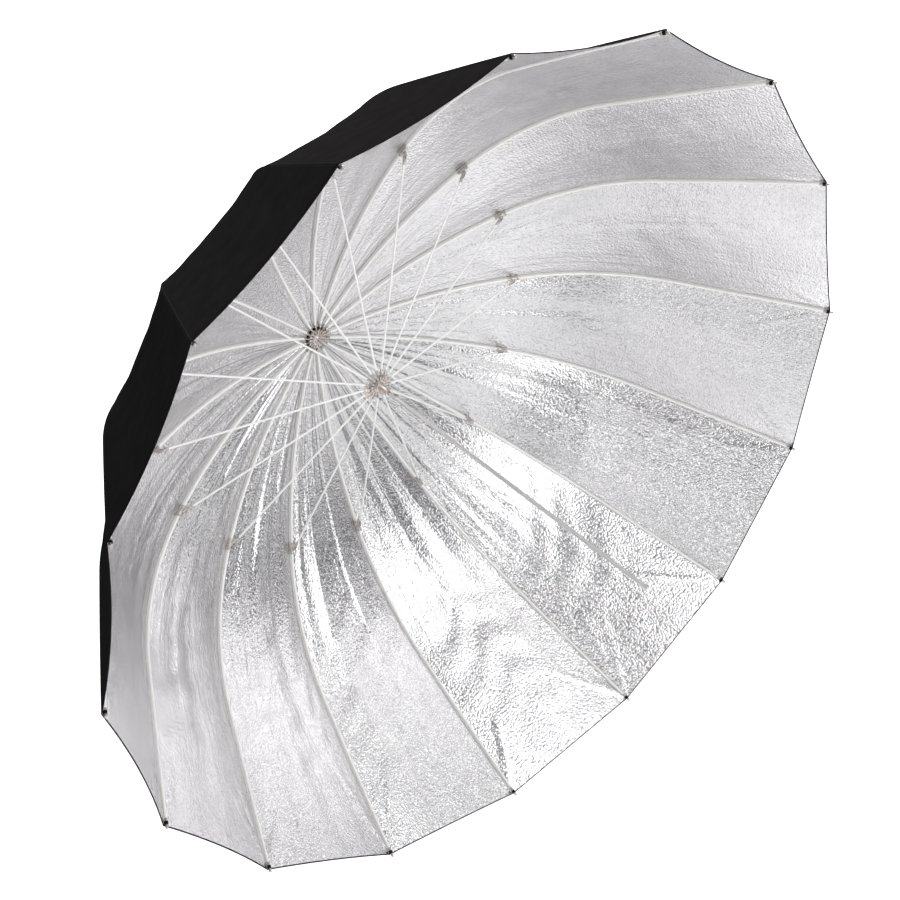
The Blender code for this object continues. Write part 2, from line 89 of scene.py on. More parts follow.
# A rib is three arcs: its slope away from the crown's plane at each distance along it.
RIB_STATIONS = (0.0, 0.4244, 0.7504, 1.0815)
RIB_SLOPES = tuple(math.radians(angle) for angle in (0.0, 26.0, 60.0, 61.0))
CLIP_AT = RIB_STATIONS[1]
RIB_LENGTH = RIB_STATIONS[-1]
CLIP_OFFSET = 0.0065

THICK_ROD_RADIUS = 0.0026
THIN_ROD_RADIUS = 0.0023
FERRULE = (0.007, 0.0155)            # from the ring's wire
FERRULE_RADIUS = 0.0031
BLADE_THICKNESS = 0.0016
EYE_RADIUS = 0.0030
EYE_HOLE_RADIUS = 0.0010
SLEEVE_RADIUS = 0.0034
SLEEVE_LENGTH = 0.024
LUG_THICKNESS = 0.0020
STRETCHER_ROD_RADIUS = 0.0020
STRETCHER_FERRULE_RADIUS = 0.0027
FORK_RADIUS = 0.0028
FORK_THICKNESS = 0.0048
FORK_GAP = 0.0028
FORK_LENGTH = 0.013
FORK_FERRULE = (0.0100, 0.020)
TIP_LENGTH = 0.020
TIP_RADIUS = 0.0027

# The canopy's layers, as distances outwards from the ribs' centre line.
LINING_FACE = 0.0050
LINING_BACK = 0.0053
SHELL_BACK = 0.0058
SHELL_FACE = 0.0061
CANOPY_START = 0.006
HEM_AT = RIB_LENGTH - 0.008
GORE_SAG = 0.03                      # of the chord between two ribs
SEAM_HALF_WIDTH = 0.0042
SEAM_HEIGHT = 0.0008
LINING_ROWS, LINING_COLUMNS = 130, 26
SHELL_ROWS, SHELL_COLUMNS = 80, 14
SLACK_SIDE = math.radians(240.0)     # where the cloth hangs slackest
SHELL_WRINKLES = 0.4                 # of the lining's tip wrinkles
CLOTH_LENGTHS = 5                    # lengths of cloth along a rib, each its own piece
MOST_KEPT = 0.80                     # of a length's width when the ribs are folded
SEAM_COLUMNS = (0.4, 0.8, 1.05)      # of the seam's half width
SOFT_FOLDS = ((2, 0.0016), (3, 0.0012), (5, 0.0006))    # folds across a gore, and their height
DRAPE_HEIGHT = 0.0016
DRAPE_SPACING = 0.085


# Shapes ----------------------------

def new_object(name, data):
    item = bpy.data.objects.new(name, data)
    bpy.context.scene.collection.objects.link(item)
    return item


def smooth(mesh, angle=40.0):
    mesh.shade_smooth()
    mesh.set_sharp_from_angle(angle=math.radians(angle))
    return mesh


def take_mesh(item):
    """The mesh an object evaluates to; the object and its Boolean helpers are removed."""
    bpy.context.view_layer.update()
    graph = bpy.context.evaluated_depsgraph_get()
    mesh = bpy.data.meshes.new_from_object(item.evaluated_get(graph))
    tools = [m.object for m in item.modifiers if m.type == "BOOLEAN"]
    for used in (item, *tools):
        bpy.data.objects.remove(used)
    return mesh


def combine(target, tool, operation):
    tool.hide_render = True
    modifier = target.modifiers.new(tool.name, "BOOLEAN")
    modifier.object = tool
    modifier.operation = operation
    modifier.solver = "EXACT"


def finish_mesh(work, name):
    """The worked body as a mesh, with its faces turned outwards."""
    bmesh.ops.recalc_face_normals(work, faces=work.faces)
    mesh = bpy.data.meshes.new(name)
    work.to_mesh(mesh)
    work.free()
    return mesh


def skin(work, rows):
    """Quads between neighbouring rings of corners that all have the same count."""
    for lower, upper in zip(rows, rows[1:]):
        for index in range(len(lower)):
            after = (index + 1) % len(lower)
            work.faces.new((lower[index], lower[after], upper[after], upper[index]))


def loft(name, rings):
    """Closed body through rings of points that all have the same count."""
    work = bmesh.new()
    rows = [[work.verts.new(point) for point in ring] for ring in rings]
    skin(work, rows)
    work.faces.new(rows[0][::-1])
    work.faces.new(rows[-1])
    return new_object(name, finish_mesh(work, name))


def ring_at(centre, first, second, count, power=2.0):
    """Points round a centre; first and second are the half axes, and power squares the ring."""
    points = []
    for index in range(count):
        angle = 2 * math.pi * (index + 0.5) / count
        cos, sin = math.cos(angle), math.sin(angle)
        reach = (abs(cos) ** power + abs(sin) ** power) ** (-1 / power)
        points.append(centre + first * (cos * reach) + second * (sin * reach))
    return points


def tube(name, points, radii, sides=16):
    """Round bar in the XY plane along points, with a radius for each."""
    rings = []
    up = Vector((0, 0, 1))
    for index, point in enumerate(points):
        before, after = points[max(index - 1, 0)], points[min(index + 1, len(points) - 1)]
        along = (Vector(after) - Vector(before)).normalized()
        side = up.cross(along)
        rings.append(ring_at(Vector(point), side * radii[index], up * radii[index], sides))
    return loft(name, rings)


def turned(name, outline, sides, y=0.0):
    """Body of revolution about the shaft from (radius, y) points; a radius of 0 closes an end."""
    work = bmesh.new()
    rings = []
    for radius, at in outline:
        if radius < 1e-7:
            rings.append([work.verts.new((0.0, y + at, 0.0))] * sides)
            continue
        angles = [2 * math.pi * (index + 0.5) / sides for index in range(sides)]
        rings.append([
            work.verts.new((radius * math.cos(a), y + at, radius * math.sin(a))) for a in angles])
    solid = outline[0][0] < 1e-7 and outline[-1][0] < 1e-7
    pairs = list(zip(rings, rings[1:])) + ([] if solid else [(rings[-1], rings[0])])
    for lower, upper in pairs:
        for index in range(sides):
            after = (index + 1) % sides
            corners = [lower[index], lower[after], upper[after], upper[index]]
            kept = [v for number, v in enumerate(corners) if v not in corners[:number]]
            if len(kept) > 2:
                work.faces.new(kept)
    return new_object(name, finish_mesh(work, name))


def arc(centre, radius, start, end, count):
    """Points on an arc; the angles are in degrees."""
    angles = [math.radians(start + (end - start) * i / (count - 1)) for i in range(count)]
    return [(centre[0] + radius * math.cos(a), centre[1] + radius * math.sin(a)) for a in angles]


def plate(name, outline, thickness, edge=0.0, holes=()):
    """Flat plate in the XY plane, centred on Z, with rounded edges."""
    curve = bpy.data.curves.new(name, "CURVE")
    curve.dimensions = "2D"
    curve.fill_mode = "BOTH"
    curve.extrude = thickness / 2 - edge
    curve.bevel_depth = edge
    curve.bevel_resolution = 1
    curve.offset = -edge
    for loop in (outline, *holes):
        spline = curve.splines.new("POLY")
        spline.points.add(len(loop) - 1)
        for point, (x, y) in zip(spline.points, loop):
            point.co = (x, y, 0.0, 1.0)
        spline.use_cyclic_u = True
    work = bmesh.new()
    work.from_mesh(take_mesh(new_object(name, curve)))
    bmesh.ops.remove_doubles(work, verts=work.verts, dist=1e-6)
    return new_object(name, finish_mesh(work, name))


def gathered(name, items):
    """One mesh of several separate closed bodies."""
    work = bmesh.new()
    for item in items:
        mesh = take_mesh(item)
        work.from_mesh(mesh)
        bpy.data.meshes.remove(mesh)
    mesh = bpy.data.meshes.new(name)
    work.to_mesh(mesh)
    work.free()
    return mesh


# The ribs' line and the canopy's surface ----------------------------

def rib_line(at):
    """Distance past the pivot, drop and slope of a rib's centre line, for distances along it."""
    at = np.asarray(at, float)
    radius, drop, slope = np.zeros_like(at), np.zeros_like(at), np.zeros_like(at)
    spans = zip(RIB_STATIONS, RIB_STATIONS[1:], RIB_SLOPES, RIB_SLOPES[1:])
    for start, end, low, high in spans:
        bend = (end - start) / (high - low)
        reached = low + (np.clip(at, start, end) - start) / bend
        radius += bend * (np.sin(reached) - math.sin(low))
        drop += bend * (math.cos(low) - np.cos(reached))
        slope = np.where(at >= start, reached, slope)
    return radius, drop, slope


def rib_place(at, outward=0.0):
    """Point in a rib's own frame: x away from the shaft, y backwards, z around it."""
    radius, drop, slope = (float(value) for value in rib_line(at))
    return Vector((radius + outward * math.sin(slope), outward * math.cos(slope) - drop, 0.0))


def chord_at(at):
    radius, _, slope = rib_line(at)
    return 2 * (PIVOT_RADIUS + radius + LINING_FACE * np.sin(slope)) * math.sin(STEP / 2)


def canopy_points(gore, share, at, outward, rise):
    """Points on the cloth of one gore, share of the way from its first rib to its second.

    outward is the layer's distance from the ribs' centre line, and rise how far the cloth's
    folds lift it inwards.
    """
    radius, drop, slope = rib_line(at)
    sag = GORE_SAG * chord_at(at) * 4 * share * (1 - share)
    reach = PIVOT_RADIUS + radius + outward * np.sin(slope)
    first = FIRST_ANGLE + STEP * gore
    middle = first + STEP / 2
    facing = first + STEP * share
    x = reach * ((1 - share) * math.cos(first) + share * math.cos(first + STEP))
    z = reach * ((1 - share) * math.sin(first) + share * math.sin(first + STEP))
    y = CROWN_Y - drop + outward * np.cos(slope)
    x -= np.sin(slope) * (sag * math.cos(middle) + rise * np.cos(facing))
    z -= np.sin(slope) * (sag * math.sin(middle) + rise * np.sin(facing))
    y -= np.cos(slope) * (sag + rise)
    return np.stack([x, y, z], -1)


def near_line(distance, half_width):
    """Rounded ridge: 1 on the line and 0 from half_width on."""
    near = np.clip(1 - np.abs(distance) / half_width, 0, 1)
    return near * near * (3 - 2 * near)


def swell(part, power=0.8):
    """0 at both ends of a fold and 1 in its middle."""
    return np.sin(math.pi * np.clip(part, 0, 1)) ** power


NOISE_SIZE = 64


def value_noise(x, y, seed):
    """Smooth noise from -1 to 1 on a unit grid."""
    table = np.random.default_rng(seed).uniform(-1, 1, (NOISE_SIZE, NOISE_SIZE))
    i, j = np.floor(x).astype(int), np.floor(y).astype(int)
    u, v = x - i, y - j
    u, v = u * u * (3 - 2 * u), v * v * (3 - 2 * v)

    def corner(a, b):
        return table[(i + a) % NOISE_SIZE, (j + b) % NOISE_SIZE]

    low = corner(0, 0) * (1 - u) + corner(1, 0) * u
    high = corner(0, 1) * (1 - u) + corner(1, 1) * u
    return low * (1 - v) + high * v


def gore_folds(gore):
    """The chosen folds of one gore: its slackness, its pleats and its tip wrinkles."""
    draw = random.Random(4100 + gore)
    middle = FIRST_ANGLE + STEP * (gore + 0.5)
    slack = 0.30 + 0.70 * (0.5 + 0.5 * math.cos(middle - SLACK_SIDE)) ** 1.5
    pleats = [
        dict(
            share=draw.uniform(0.10, 0.90), start=draw.uniform(-0.06, 0.04),
            length=draw.uniform(0.30, 0.95), height=draw.uniform(0.0008, 0.0022) * slack,
            width=draw.uniform(0.0040, 0.0080), sway=draw.uniform(-0.02, 0.02),
            phase=draw.uniform(0, 6.28))
        for _ in range(4 + round(6 * slack))]
    wrinkles = [
        dict(
            side=side, angle=math.radians(draw.uniform(5.0, 34.0)),
            length=draw.uniform(0.07, 0.22), height=draw.uniform(0.0008, 0.0020) * (0.4 + slack),
            width=draw.uniform(0.007, 0.011))
        for side in (0, 1) for _ in range(3)]
    return dict(slack=slack, pleats=pleats, wrinkles=wrinkles)


FOLDS = [gore_folds(gore) for gore in range(RIB_COUNT)]


def broad_rise(gore, share, at, wrinkle_share=1.0):
    """Soft folds that both layers of cloth have, with all or part of the tips' wrinkles."""
    folds = FOLDS[gore]
    chord = chord_at(at)
    window = 4 * share * (1 - share)
    rise = np.zeros_like(at)
    along = swell(at / HEM_AT, 0.6)
    for count, height in SOFT_FOLDS:
        drift = value_noise(at / 0.25 + 7 * count, np.full_like(at, gore + 0.5), 11 + count)
        rise += height * np.sin(2 * math.pi * (count * share + 0.35 * drift) + gore * count)
    slant = value_noise(at / 0.18 + 3 * gore, 4 * share, 23)
    drape = swell((at - 0.50) / 0.55, 1.5)
    turns = at / DRAPE_SPACING + (1.4 + slant) * share
    rise += DRAPE_HEIGHT * drape * np.sin(2 * math.pi * turns + gore)
    rise *= along * window * folds["slack"]
    for wrinkle in folds["wrinkles"]:
        x = share * chord if wrinkle["side"] == 0 else (1 - share) * chord
        back = HEM_AT - at
        cos, sin = math.cos(wrinkle["angle"]), math.sin(wrinkle["angle"])
        along_fold = (back * cos + x * sin) / wrinkle["length"]
        across_fold = x * cos - back * sin
        width = wrinkle["width"] * (0.5 + 0.7 * np.clip(along_fold, 0, 1))
        height = wrinkle_share * wrinkle["height"]
        rise += height * near_line(across_fold, width) * swell(along_fold)
    return rise * np.clip((HEM_AT - at) / 0.012, 0, 1)


def fine_rise(gore, share, at):
    """Pleats, seams and crumples that only show on the lining."""
    folds = FOLDS[gore]
    chord = chord_at(at)
    from_rib = np.minimum(share, 1 - share) * chord
    rise = SEAM_HEIGHT * near_line(from_rib, np.minimum(SEAM_HALF_WIDTH, 0.3 * chord)) ** 0.6
    pinned = np.clip(from_rib / 0.02, 0, 1) * np.clip((HEM_AT - at) / 0.03, 0, 1)
    for pleat in folds["pleats"]:
        centre = pleat["share"] + pleat["sway"] * np.sin(9 * at + pleat["phase"])
        part = (at - pleat["start"]) / pleat["length"]
        ridge = near_line((share - centre) * chord, pleat["width"] * (0.4 + 1.2 * at))
        rise += pleat["height"] * ridge * swell(part, 0.7) * np.clip(from_rib / 0.004, 0, 1)
    rise += 0.0005 * near_line((share - 0.5) * chord, 0.006) * np.clip(at / 0.3, 0, 1) * pinned
    x = (share - 0.5) * chord
    crumple = value_noise(x / 0.022 + 31 * gore, at / 0.050, 5)
    crumple += 0.5 * value_noise(x / 0.011 + 17 * gore, at / 0.024, 6)
    rise += 0.00035 * (1.2 + crumple) * pinned * folds["slack"]
    return rise


def lining_rise(gore, share, at):
    return broad_rise(gore, share, at) + fine_rise(gore, share, at)


def shell_rise(gore, share, at):
    from_rib = np.minimum(share, 1 - share) * chord_at(at)
    seam = near_line(from_rib, SEAM_HALF_WIDTH) ** 0.6
    return broad_rise(gore, share, at, SHELL_WRINKLES) - 0.0005 * seam


def cloth_grid(rib, at, columns, outward, rise):
    """Points and normals of one layer round a rib, from gore middle to gore middle.

    Three columns on each side of the rib keep the seam's true width, and the rest spread evenly.
    """
    chord = chord_at(at)
    half = chord / 2
    seam = SEAM_HALF_WIDTH * np.minimum(1.0, 0.35 * half / SEAM_HALF_WIDTH)
    widths = [seam * part for part in SEAM_COLUMNS]
    rest = columns - len(widths)
    edge = widths[-1]
    widths += [edge + (half - edge) * k / rest for k in range(1, rest + 2)]
    share = np.stack([width / chord for width in widths], 1)
    long = np.repeat(at[:, None], share.shape[1], 1)
    after = rib % RIB_COUNT
    before = (rib - 1) % RIB_COUNT
    right = canopy_points(after, share, long, outward, rise(after, share, long))
    left = canopy_points(before, 1 - share, long, outward, rise(before, 1 - share, long))
    zero = np.zeros((len(at), 1))
    centre = canopy_points(after, zero, at[:, None], outward, rise(after, zero, at[:, None]))
    points = np.concatenate([left[:, ::-1], centre, right], 1)
    down = np.gradient(points, axis=0)
    across = np.gradient(points, axis=1)
    normals = np.cross(across, down)
    normals /= np.linalg.norm(normals, axis=-1, keepdims=True)
    signed = np.concatenate([-share[:, ::-1], zero, share], 1) * chord[:, None]
    return points[:, 1:-1], normals[:, 1:-1], signed[:, 1:-1]


def cloth_pieces(name, rib, rows, columns, layers, rise):
    """Thin closed sheets round one rib, one for each length of cloth."""
    at = np.linspace(CANOPY_START, HEM_AT, rows + 1)
    face, normals, across = cloth_grid(rib, at, columns, layers[0], rise)
    back, _, _ = cloth_grid(rib, at, columns, layers[1], rise)
    step = rows // CLOTH_LENGTHS
    pieces = []
    for part in range(CLOTH_LENGTHS):
        cut = slice(part * step, (part + 1) * step + 1)
        pieces.append(cloth_piece(
            f"{name}_{part + 1}", face[cut], back[cut], normals[cut], across[cut], at[cut]))
    return pieces


def cloth_piece(name, face, back, face_normals, across, at):
    """One thin closed sheet, with metre UVs and normals that run on across its cuts."""
    height, width = face.shape[:2]
    vertices = np.concatenate([face.reshape(-1, 3), back.reshape(-1, 3)])
    ids = np.arange(height * width).reshape(height, width)
    quads = np.stack([ids[:-1, :-1], ids[:-1, 1:], ids[1:, 1:], ids[1:, :-1]], -1).reshape(-1, 4)
    border = np.concatenate([ids[0, :], ids[1:, -1], ids[-1, -2::-1], ids[-2:0:-1, 0]])
    after = np.roll(border, -1)
    other = height * width
    walls = np.stack([after, border, border + other, after + other], -1)
    faces = np.concatenate([quads, quads[:, ::-1] + other, walls])
    mesh = bpy.data.meshes.new(name)
    mesh.from_pydata(vertices.tolist(), [], faces.tolist())
    flat = np.stack([across.ravel(), np.repeat(at, width)], -1)
    uv = mesh.uv_layers.new(name="cloth")
    uv.data.foreach_set("uv", np.concatenate([flat, flat])[faces.ravel()].ravel())
    item = new_object(name, mesh)
    mesh.shade_smooth()
    set_cloth_normals(mesh, faces, len(quads), face_normals.reshape(-1, 3))
    return item


def set_cloth_normals(mesh, faces, quad_count, normals):
    """Keep the surface's own normals on both faces, and flat ones on the cut edges."""
    flat = np.empty(len(mesh.polygons) * 3)
    mesh.polygons.foreach_get("normal", flat)
    flat = flat.reshape(-1, 3)
    sign = np.sign(np.sum(flat[:quad_count] * normals[faces[:quad_count, 0]]))
    loops = np.concatenate([
        sign * normals[faces[:quad_count].ravel()],
        -sign * normals[faces[quad_count:2 * quad_count].ravel() - len(normals)],
        np.repeat(flat[2 * quad_count:], 4, 0)])
    mesh.normals_split_custom_set(loops.tolist())


def hem_piece(name, rib):
    """Folded strip of shell cloth that closes the hem of both layers, round one rib."""
    section = (
        (-0.0014, 0.0046), (0.0003, 0.0046), (0.0008, 0.0050), (0.0008, 0.0062), (0.0003, 0.0066),
        (-0.0105, 0.0066), (-0.0105, 0.0063), (0.0000, 0.0063), (0.0004, 0.0060), (0.0004, 0.0052),
        (0.0000, 0.0048), (-0.0014, 0.0048))
    lines = []
    for past, outward in section:
        at = np.array([HEM_AT + past, HEM_AT + past])
        grid, _, _ = cloth_grid(rib, at, SHELL_COLUMNS, outward, broad_rise)
        lines.append(grid[0])
    rings = [[Vector(line[column]) for line in lines] for column in range(len(lines[0]))]
    item = loft(name, rings)
    smooth(item.data, 50.0)
    return item


# Materials ----------------------------

PEBBLES_PER_METRE = 330.0


class Surface:
    """A Principled material and short ways to add nodes to it."""

    def __init__(self, name, **fixed):
        self.material = bpy.data.materials.new(name)
        self.material.use_nodes = True
        self.tree = self.material.node_tree
        self.shader = self.tree.nodes["Principled BSDF"]
        for socket, value in fixed.items():
            self.shader.inputs[socket.replace("_", " ")].default_value = value
        self.bumped = None

    def node(self, kind, inputs=None, **settings):
        made = self.tree.nodes.new("ShaderNode" + kind)
        for name, value in settings.items():
            setattr(made, name, value)
        for key, value in (inputs or {}).items():
            self.feed(made.inputs[key], value)
        return made

    def feed(self, socket, value):
        if isinstance(value, bpy.types.NodeSocket):
            self.tree.links.new(value, socket)
        else:
            socket.default_value = value

    def scaled(self, place, scale):
        return self.node("Mapping", {"Vector": place, "Scale": scale}).outputs["Vector"]

    def object_place(self, scale=(1.0, 1.0, 1.0)):
        return self.scaled(self.node("TexCoord").outputs["Object"], scale)

    def cloth_uv(self):
        return self.node("UVMap", uv_map="cloth").outputs["UV"]

    def cloth_place(self, scale=(1.0, 1.0, 1.0)):
        return self.scaled(self.cloth_uv(), scale)

    def along_rib(self):
        return self.node("SeparateXYZ", {"Vector": self.cloth_uv()}).outputs["Y"]

    def noise(self, place, scale, detail=2.0, roughness=0.5):
        made = self.node("TexNoise", {
            "Vector": place, "Scale": scale, "Detail": detail, "Roughness": roughness})
        return made.outputs["Fac"]

    def cells(self, place, scale):
        made = self.node("TexVoronoi", {"Vector": place, "Scale": scale}, feature="SMOOTH_F1")
        return made.outputs["Distance"]

    def ramp(self, value, low, high, start=0.0, end=1.0):
        made = self.node("MapRange", {
            "Value": value, "From Min": low, "From Max": high, "To Min": start, "To Max": end})
        return made.outputs["Result"]

    def spread(self, noise, low, high):
        """Noise, most of which lies between 0.3 and 0.7, spread from low to high."""
        return self.ramp(noise, 0.3, 0.7, low, high)

    def math(self, operation, first, second=0.0):
        return self.node("Math", {0: first, 1: second}, operation=operation).outputs["Value"]

    def mix(self, factor, first, second):
        made = self.node("Mix", data_type="RGBA")
        self.feed(made.inputs["Factor"], factor)
        self.feed(made.inputs["A"], first)
        self.feed(made.inputs["B"], second)
        return made.outputs["Result"]

    def bump(self, height, distance, strength=1.0):
        made = self.node("Bump", {"Height": height, "Distance": distance, "Strength": strength})
        if self.bumped:
            self.feed(made.inputs["Normal"], self.bumped)
        self.bumped = made.outputs["Normal"]
        self.feed(self.shader.inputs["Normal"], self.bumped)

    def color(self, value):
        self.feed(self.shader.inputs["Base Color"], value)

    def rough(self, value):
        self.feed(self.shader.inputs["Roughness"], value)


def seam_marks(look):
    """Masks of the sewn seam along a rib: its band, painted pale on the lining as a painted
    reflection of the white rod, and its two rows of stitches.
    """
    split = look.node("SeparateXYZ", {"Vector": look.cloth_uv()})
    from_rib = look.math("ABSOLUTE", split.outputs["X"])
    rod_reflection_band = look.ramp(from_rib, 0.0041, 0.0035)
    off_row = look.math("ABSOLUTE", look.math("SUBTRACT", from_rib, 0.0028))
    row = look.ramp(off_row, 0.00055, 0.00025)
    along = look.math("FRACT", look.math("DIVIDE", split.outputs["Y"], 0.0036))
    dash = look.math("MULTIPLY", look.ramp(along, 0.0, 0.12), look.ramp(along, 0.85, 0.70))
    return rod_reflection_band, look.math("MULTIPLY", row, dash)


def silver_cloth():
    """Metal-coated woven lining with a pebbled grain, fine creases and sewn seams, and painted
    shade and a painted reflection in its colour.
    """
    look = Surface("silver_cloth")
    place = look.cloth_place((1.0, 0.85, 1.0))
    drift = look.node("TexNoise", {"Vector": place, "Scale": 120.0, "Detail": 2.0})
    shifted = look.node("VectorMath", {
        0: drift.outputs["Color"], 1: (0.006, 0.006, 0.0), 2: place}, operation="MULTIPLY_ADD")
    pebbles = look.cells(shifted.outputs["Vector"], PEBBLES_PER_METRE)
    grain = look.noise(place, 620.0, 2.0)
    creases = look.noise(look.cloth_place((80.0, 2.4, 1.0)), 1.0, 3.0, 0.55)
    threads = look.noise(look.cloth_place((260.0, 14.0, 1.0)), 1.0, 2.0)
    patches = look.noise(look.cloth_place(), 14.0, 3.0)
    rod_reflection_band, stitches = seam_marks(look)
    look.bump(creases, 0.0014)
    look.bump(threads, 0.0003)
    look.bump(pebbles, 0.00095)
    look.bump(grain, 0.00025)
    look.bump(stitches, 0.0003)
    # Painted shade: the lining is painted darker towards the crown, deep in the bowl, and lighter
    # towards the hem; the patches add tone that differs at random.
    painted_crown_shade = look.ramp(look.along_rib(), 0.10, 0.75, 0.0, 0.65)
    mottled = look.spread(patches, 0.0, 0.35)
    tone = look.mix(
        look.math("ADD", painted_crown_shade, mottled), (0.65, 0.641, 0.65, 1.0), (0.84, 0.829, 0.84, 1.0))
    # Painted shade: the crevices between the pebbles are painted darker grey.
    painted_crevice_shade = look.mix(look.ramp(pebbles, 0.10, 0.55, 0.0, 0.10), tone, (0.22, 0.22, 0.22, 1.0))
    # Painted reflection: the seam band beside each rib is painted pale ivory for the white rod's
    # reflection in the lining, and is made less metallic and rougher.
    painted_rod_reflection = look.mix(rod_reflection_band, painted_crevice_shade, (0.86, 0.85, 0.83, 1.0))
    look.color(look.mix(stitches, painted_rod_reflection, (0.93, 0.92, 0.90, 1.0)))
    look.feed(look.shader.inputs["Metallic"], look.ramp(rod_reflection_band, 0.0, 1.0, 1.0, 0.35))
    smoothness = look.spread(patches, 0.12, 0.19)
    look.rough(look.math("ADD", smoothness, look.math("MULTIPLY", rod_reflection_band, 0.3)))
    return look.material


def black_cloth(name, sewn):
    """Dull black woven shell, with rows of stitches beside the ribs where it is sewn."""
    look = Surface(name, Metallic=0.0, Specular_IOR_Level=0.0)
    place = look.object_place()
    warp = look.node("TexWave", {"Vector": place, "Scale": 420.0, "Distortion": 0.6})
    weft = look.node(
        "TexWave", {"Vector": place, "Scale": 420.0, "Distortion": 0.6}, bands_direction="Y")
    weave = look.math("MULTIPLY", warp.outputs["Fac"], weft.outputs["Fac"])
    patches = look.noise(place, 30.0, 3.0)
    look.bump(weave, 0.00025, 0.5)
    look.bump(patches, 0.0015, 0.3)
    tone = look.math("ADD", look.math("MULTIPLY", patches, 0.7), look.math("MULTIPLY", weave, 0.3))
    cloth = look.mix(tone, (0.011, 0.0103, 0.0107, 1.0), (0.023, 0.0215, 0.0225, 1.0))
    if sewn:
        _, stitches = seam_marks(look)
        look.bump(stitches, 0.0003)
        cloth = look.mix(stitches, cloth, (0.035, 0.034, 0.035, 1.0))
    look.color(cloth)
    look.rough(look.spread(patches, 0.72, 0.88))
    return look.material


def white_fibreglass():
    """Painted fibreglass with faint drawn streaks along the rod."""
    look = Surface("white_fibreglass", Metallic=0.0, Coat_Weight=0.35, Coat_Roughness=0.12)
    streaks = look.noise(look.object_place((6.0, 900.0, 900.0)), 1.0, 2.0)
    spots = look.noise(look.object_place(), 220.0, 3.0)
    look.bump(streaks, 0.0001, 0.4)
    look.color(look.mix(spots, (0.93, 0.93, 0.915, 1.0), (0.99, 0.99, 0.98, 1.0)))
    look.rough(look.spread(streaks, 0.30, 0.48))
    return look.material


def nickel(name, tone, dark, rough):
    """Plated metal with brushed streaks and dull, browned patches."""
    look = Surface(name, Metallic=1.0)
    stains = look.noise(look.object_place(), 260.0, 4.0, 0.6)
    brushed = look.noise(look.object_place((2600.0, 260.0, 2600.0)), 1.0, 2.0)
    look.bump(brushed, 0.00006, 0.5)
    look.bump(stains, 0.00015, 0.3)
    look.color(look.mix(look.ramp(stains, 0.35, 0.68), (*dark, 1.0), (*tone, 1.0)))
    look.rough(look.spread(stains, rough + 0.14, rough - 0.06))
    return look.material


def drawn_steel():
    """Drawn tube with long faint scratches."""
    look = Surface("drawn_steel", Metallic=1.0)
    scratches = look.noise(look.object_place((1400.0, 8.0, 1400.0)), 1.0, 3.0)
    wear = look.noise(look.object_place(), 45.0, 3.0)
    look.bump(scratches, 0.00005, 0.5)
    look.color(look.mix(wear, (0.60, 0.59, 0.59, 1.0), (0.78, 0.77, 0.76, 1.0)))
    look.rough(look.spread(scratches, 0.22, 0.36))
    return look.material


def black_moulded():
    """Moulded plastic with a fine spark grain."""
    look = Surface("black_moulded", Metallic=0.0)
    grain = look.noise(look.object_place(), 2200.0, 2.0)
    scuffs = look.noise(look.object_place(), 180.0, 4.0)
    look.bump(grain, 0.00008, 0.6)
    look.color(look.mix(scuffs, (0.012, 0.012, 0.013, 1.0), (0.032, 0.031, 0.031, 1.0)))
    look.rough(look.spread(scuffs, 0.38, 0.55))
    return look.material


BRIGHT_NICKEL = nickel("bright_nickel", (0.80, 0.75, 0.72), (0.44, 0.39, 0.36), 0.26)
DULL_NICKEL = nickel("dull_nickel", (0.74, 0.70, 0.67), (0.38, 0.35, 0.32), 0.34)

# Each look is a material with the record's slot that it belongs to.
SILVER = (silver_cloth(), "silver_lining")
BLACK = (black_cloth("black_cloth", sewn=False), "black_shell")
BLACK_SEWN = (black_cloth("black_sewn_cloth", sewn=True), "black_shell")
WHITE = (white_fibreglass(), "white_rod")
NICKEL = (BRIGHT_NICKEL, "nickel_fittings")
CLIP_METAL = (DULL_NICKEL, "nickel_fittings")
STEEL = (drawn_steel(), "shaft_steel")
PLASTIC = (black_moulded(), "black_plastic")


def dress(item, look, body, *nodes):
    """Give a piece its material and its body, and hide the CAD nodes it stands for."""
    material, slot = look
    item.data.materials.clear()
    item.data.materials.append(material)
    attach(item, body)
    if nodes:
        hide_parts(*nodes)


# Ribs and stretchers ----------------------------

def stepped_bar(name, stages):
    """Bar along X through stages of place, half width, half height and squareness."""
    side, up = Vector((0, 1, 0)), Vector((0, 0, 1))
    return loft(name, [
        ring_at(Vector((at, 0, 0)), side * wide, up * high, 24, power)
        for at, wide, high, power in stages])


def eye_and_ferrule(name, radius):
    """Flattened end with an eye at the origin, opening out along +X into the crimped ferrule."""
    start, end = FERRULE
    outline = arc((0.0, 0.0), EYE_RADIUS, 90.0, 270.0, 13)
    outline += [(start, -EYE_RADIUS), (start, EYE_RADIUS)]
    hole = arc((0.0, 0.0), EYE_HOLE_RADIUS, 0.0, 330.0, 12)
    blade = plate(name + "_blade", outline, BLADE_THICKNESS, 0.0003, (hole,))
    length = end - start
    body = stepped_bar(name + "_ferrule", (
        (start - 0.0012, EYE_RADIUS * 0.99, BLADE_THICKNESS * 0.46, 5.0),
        (start, EYE_RADIUS * 1.01, BLADE_THICKNESS * 0.52, 4.0),
        (start + 0.18 * length, radius * 1.02, radius * 0.66, 2.8),
        (start + 0.36 * length, radius, radius, 2.0),
        (start + 0.50 * length, radius, radius, 2.0),
        (start + 0.56 * length, radius * 0.93, radius * 0.93, 2.0),
        (start + 0.62 * length, radius * 0.93, radius * 0.93, 2.0),
        (start + 0.68 * length, radius, radius, 2.0),
        (end - 0.0004, radius, radius, 2.0),
        (end, radius * 0.94, radius * 0.94, 2.0)))
    combine(blade, body, "UNION")
    return new_object(name, smooth(take_mesh(blade)))


